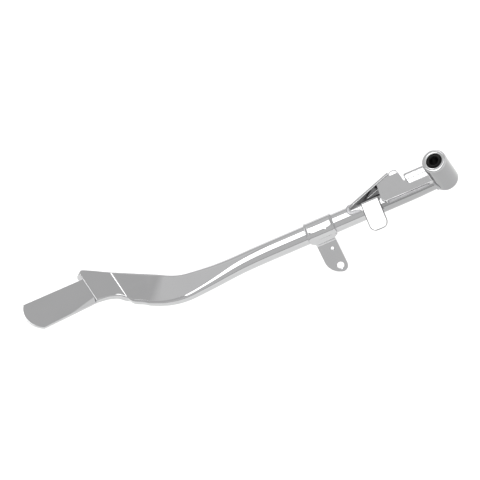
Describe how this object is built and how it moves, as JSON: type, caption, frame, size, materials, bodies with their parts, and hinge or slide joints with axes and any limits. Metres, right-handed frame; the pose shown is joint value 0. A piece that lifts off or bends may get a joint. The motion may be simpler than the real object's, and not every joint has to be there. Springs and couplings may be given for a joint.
{
  "type": "motorcycle side stand leg",
  "caption": "Chromed motorcycle kickstand leg with pivot barrel, lock plate, kick tab, flag tab bracket and flat foot, swinging on a clamped pivot sleeve.",
  "frame": {"origin": "centre of the pivot bore, half way along the barrel", "axes": "+Z along the pivot axis, +X from the foot towards the pivot along the straight leg"},
  "size_m": [0.3744, 0.0766, 0.0611],
  "materials": {
    "chrome": "polished decorative chrome",
    "chromed_weld": "chrome over rippled weld beads",
    "bush": "dark low-friction lining",
    "sleeve": "black oxide"
  },
  "bodies": {
    "pivot": {"pivot_sleeve": "sleeve"},
    "leg": {"leg_bar": "chrome", "pivot_barrel": "chrome", "lock_plate": "chrome", "neck_flange": "chrome", "ramp_gusset": "chrome", "kick_tab": "chrome", "saddle_bracket": "chrome", "foot_plate": "chrome", "barrel_weld": "chromed_weld", "plate_weld": "chromed_weld", "gusset_nose_weld": "chromed_weld", "gusset_back_weld": "chromed_weld", "kick_tab_weld": "chromed_weld", "saddle_weld_front": "chromed_weld", "saddle_weld_rear": "chromed_weld", "foot_weld_top": "chromed_weld", "foot_weld_under": "chromed_weld", "bush_upper": "bush", "bush_lower": "bush"}
  },
  "joints": [
    {"name": "leg_swing", "type": "hinge", "parent": "pivot", "child": "leg", "pos_m": [0, 0, 0], "axis": [0, 0, 1], "range_deg": [0, 95]}
  ]
}
